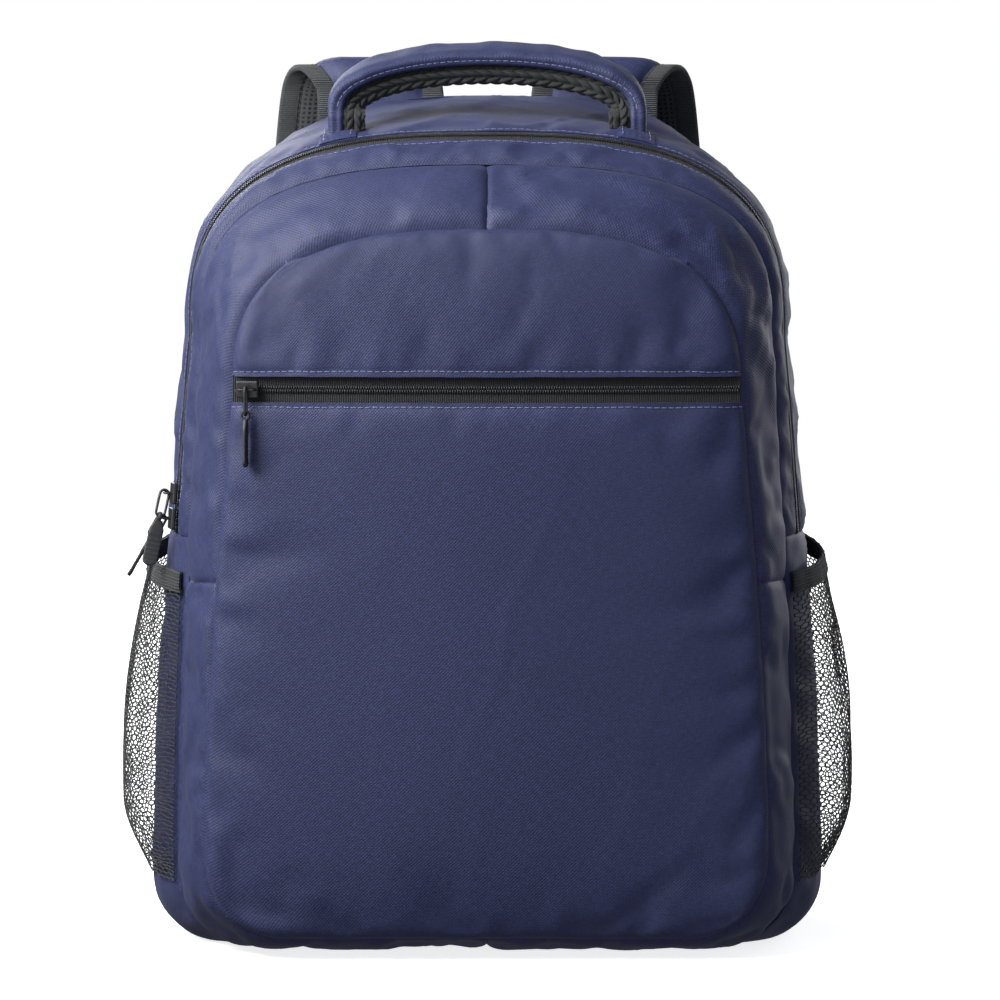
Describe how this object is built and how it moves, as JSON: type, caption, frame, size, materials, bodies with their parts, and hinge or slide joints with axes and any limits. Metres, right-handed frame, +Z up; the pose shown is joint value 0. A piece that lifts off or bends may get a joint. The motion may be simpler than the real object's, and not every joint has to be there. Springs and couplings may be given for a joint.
{
  "type": "school backpack",
  "caption": "Fabric school backpack with a zipped front pocket, net side pockets, a padded grab handle and two padded shoulder straps.",
  "frame": {"origin": "middle of the flat base, on the surface the bag stands on", "axes": "+Z up along the bag's height, -Y towards the front pocket, +X to the right seen from the front"},
  "size_m": [0.3826, 0.217, 0.4645],
  "materials": {
    "navy_fabric": "woven polyester, matt with a slight sheen",
    "lining": "coated lining cloth",
    "net": "open knitted net",
    "elastic": "ribbed elastic binding",
    "air_mesh": "spacer mesh",
    "handle_mesh": "chunky knitted mesh",
    "webbing": "ribbed woven webbing",
    "zip_tape": "herringbone zip tape with nylon coil",
    "slider_metal": "black painted die casting",
    "wire_metal": "drawn wire",
    "puller_rubber": "moulded, matt",
    "buckle_plastic": "moulded acetal, fine grain"
  },
  "bodies": {
    "root": {"front_panel_lower": "navy_fabric", "pocket_fold": "navy_fabric", "pocket_gusset_lower_left": "navy_fabric", "pocket_gusset_lower_right": "navy_fabric", "pocket_wall_lower": "lining", "main_zip_rear_half": "zip_tape", "main_gusset": "navy_fabric", "side_panel_left": "navy_fabric", "side_panel_right": "navy_fabric", "base_panel": "navy_fabric", "back_panel": "navy_fabric", "mesh_pocket_left": "net", "mesh_pocket_right": "net", "pocket_elastic_left": "elastic", "pocket_elastic_right": "elastic", "handle_anchor_left": "navy_fabric", "handle_anchor_right": "navy_fabric", "strap_anchor_left": "navy_fabric", "strap_anchor_right": "navy_fabric", "lower_webbing_left": "webbing", "lower_webbing_right": "webbing", "webbing_anchor_left": "webbing", "webbing_anchor_right": "webbing", "back_pad_left": "air_mesh", "back_pad_right": "air_mesh"},
    "front_half": {"front_panel_middle": "navy_fabric", "front_panel_upper": "navy_fabric", "front_zip_lower_half": "zip_tape", "front_zip_upper_half": "zip_tape", "pocket_gusset_upper_left": "navy_fabric", "pocket_gusset_upper_right": "navy_fabric", "pocket_wall_upper": "lining", "front_band": "navy_fabric", "main_zip_front_half": "zip_tape"},
    "front_slider": {"front_slider": "slider_metal"},
    "front_pull_loop": {"front_pull_loop": "wire_metal"},
    "front_puller": {"front_puller": "puller_rubber"},
    "main_slider_upper": {"main_slider_upper": "slider_metal"},
    "main_upper_pull_loop": {"main_upper_pull_loop": "wire_metal"},
    "main_upper_puller": {"main_upper_puller": "puller_rubber"},
    "main_slider_lower": {"main_slider_lower": "slider_metal"},
    "main_lower_pull_loop": {"main_lower_pull_loop": "wire_metal"},
    "main_lower_puller": {"main_lower_puller": "puller_rubber"},
    "handle": {"carry_handle": "navy_fabric", "handle_grip": "handle_mesh"},
    "strap_left": {"shoulder_strap_left": "navy_fabric"},
    "strap_right": {"shoulder_strap_right": "navy_fabric"},
    "lock_left": {"ladder_lock_left": "buckle_plastic"},
    "lock_right": {"ladder_lock_right": "buckle_plastic"}
  },
  "joints": [
    {"name": "front_half_tilt", "type": "hinge", "parent": "root", "child": "front_half", "pos_m": [0, -0.02, 0.212], "axis": [1, 0, 0], "range_deg": [0, 30], "deforming": ["pocket_fold"]},
    {"name": "front_slider_travel", "type": "hinge", "parent": "front_half", "child": "front_slider", "pos_m": [0, 0.81166, 0.28925], "axis": [0, 0, 1], "range_deg": [0, 15.18]},
    {"name": "front_loop_swing", "type": "hinge", "parent": "front_slider", "child": "front_pull_loop", "pos_m": [-0.11987, -0.08772, 0.28925], "axis": [-0.9912, 0.1321, 0], "range_deg": [0, 80]},
    {"name": "front_puller_swing", "type": "hinge", "parent": "front_pull_loop", "child": "front_puller", "pos_m": [-0.11987, -0.08772, 0.27665], "axis": [0.1321, 0.9912, 0], "range_deg": [-55, 55]},
    {"name": "main_slider_upper_travel", "type": "slide", "parent": "root", "child": "main_slider_upper", "axis": [-0.0802, 0, -0.9968], "range_m": [-0.072, 0]},
    {"name": "main_slider_lower_travel", "type": "slide", "parent": "root", "child": "main_slider_lower", "axis": [-0.0802, 0, -0.9968], "range_m": [-0.072, 0]},
    {"name": "main_upper_loop_swing", "type": "hinge", "parent": "main_slider_upper", "child": "main_upper_pull_loop", "pos_m": [-0.16546, -0.02286, 0.23299], "axis": [0, 1, 0], "range_deg": [-2, 60]},
    {"name": "main_upper_puller_swing", "type": "hinge", "parent": "main_upper_pull_loop", "child": "main_upper_puller", "pos_m": [-0.16801, -0.02592, 0.22103], "axis": [0.9781, 0, -0.2081], "range_deg": [-10, 40]},
    {"name": "main_lower_loop_swing", "type": "hinge", "parent": "main_slider_lower", "child": "main_lower_pull_loop", "pos_m": [-0.16705, -0.0206, 0.22002], "axis": [0, 1, 0], "range_deg": [-2, 60]},
    {"name": "main_lower_puller_swing", "type": "hinge", "parent": "main_lower_pull_loop", "child": "main_lower_puller", "pos_m": [-0.1731, -0.01607, 0.20994], "axis": [0.8575, 0, -0.5145], "range_deg": [-40, 10]},
    {"name": "handle_swing", "type": "hinge", "parent": "root", "child": "handle", "pos_m": [0, -0.0005, 0.42689], "axis": [1, 0, 0], "range_deg": [-30, 45], "stiffness_Nm_per_rad": 0.15},
    {"name": "strap_left_swing", "type": "hinge", "parent": "root", "child": "strap_left", "pos_m": [-0.058, 0.0905, 0.439], "axis": [1, 0, 0], "range_deg": [0, 25], "deforming": ["lower_webbing_left"]},
    {"name": "lock_left_tilt", "type": "hinge", "parent": "strap_left", "child": "lock_left", "pos_m": [-0.0985, 0.11554, 0.14549], "axis": [1, 0, 0], "range_deg": [-12, 12]},
    {"name": "strap_right_swing", "type": "hinge", "parent": "root", "child": "strap_right", "pos_m": [0.058, 0.0905, 0.439], "axis": [1, 0, 0], "range_deg": [0, 25], "deforming": ["lower_webbing_right"]},
    {"name": "lock_right_tilt", "type": "hinge", "parent": "strap_right", "child": "lock_right", "pos_m": [0.0985, 0.11554, 0.14549], "axis": [1, 0, 0], "range_deg": [-12, 12]}
  ],
  "couplings": [
    {"joint": "main_slider_lower_travel", "follows": "main_slider_upper_travel", "ratio": 1}
  ]
}
